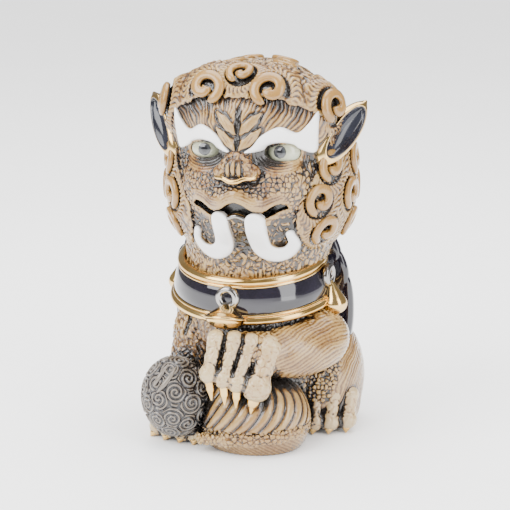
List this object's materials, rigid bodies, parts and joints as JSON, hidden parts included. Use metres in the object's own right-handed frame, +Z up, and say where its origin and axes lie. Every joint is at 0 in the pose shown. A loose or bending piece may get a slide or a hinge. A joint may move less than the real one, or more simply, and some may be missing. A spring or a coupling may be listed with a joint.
{
  "type": "guardian lion figurine",
  "caption": "Seated guardian lion in glazed ceramic, a curled cub under one forepaw, with a collar hung with bells and a flat base to stand on.",
  "frame": {"origin": "centre of the figurine's footprint, on the surface it stands on", "axes": "+Z up, the lioness looks along -Y, +X is the lioness's left side (the side of the cub's paw)"},
  "size_m": [0.1032, 0.1118, 0.1791],
  "materials": {
    "ivory_fur": "glossy ivory glaze over a dark antique wash",
    "ivory_toe": "glossy pale ivory glaze with dark wash in the joints",
    "ochre_curl": "glossy ochre glaze",
    "white_enamel": "smooth glossy white enamel",
    "black_glaze": "deep glossy black glaze",
    "gold_lustre": "fired gold lustre",
    "platinum_lustre": "fired platinum lustre over dark glaze",
    "smoke_curl": "glossy dark smoke glaze, rubbed pale on the raised curls",
    "eye_glaze": "glossy pale eye glaze with a black pupil"
  },
  "bodies": {
    "root": {"body_shell": "ivory_fur", "head_shell": "ivory_fur", "face_mask": "ivory_fur", "forehead_crest": "ivory_fur", "mane": "ivory_fur", "nose": "ivory_fur", "left_foreleg": "ivory_fur", "right_foreleg": "ivory_fur", "left_haunch": "ivory_fur", "right_haunch": "ivory_fur", "cub_body": "ivory_fur", "cub_spine": "ivory_fur", "tail": "ivory_fur", "left_fore_toes": "ivory_toe", "right_fore_toes": "ivory_toe", "left_hind_toes": "ivory_toe", "right_hind_toes": "ivory_toe", "mane_curls": "ochre_curl", "left_brow": "white_enamel", "right_brow": "white_enamel", "left_beard_curl": "white_enamel", "right_beard_curl": "white_enamel", "collar_band": "black_glaze", "back_mane": "black_glaze", "left_ear": "gold_lustre", "right_ear": "gold_lustre", "collar_upper_piping": "gold_lustre", "collar_lower_piping": "gold_lustre", "front_bell": "gold_lustre", "left_bell": "gold_lustre", "right_bell": "gold_lustre", "left_fore_claws": "gold_lustre", "right_fore_claws": "gold_lustre", "left_hind_claws": "gold_lustre", "right_hind_claws": "gold_lustre", "lower_lip": "platinum_lustre", "front_bell_ring": "platinum_lustre", "left_bell_ring": "platinum_lustre", "right_bell_ring": "platinum_lustre", "cub_head": "smoke_curl", "cub_ear": "smoke_curl", "left_eye": "eye_glaze", "right_eye": "eye_glaze"}
  },
  "joints": []
}
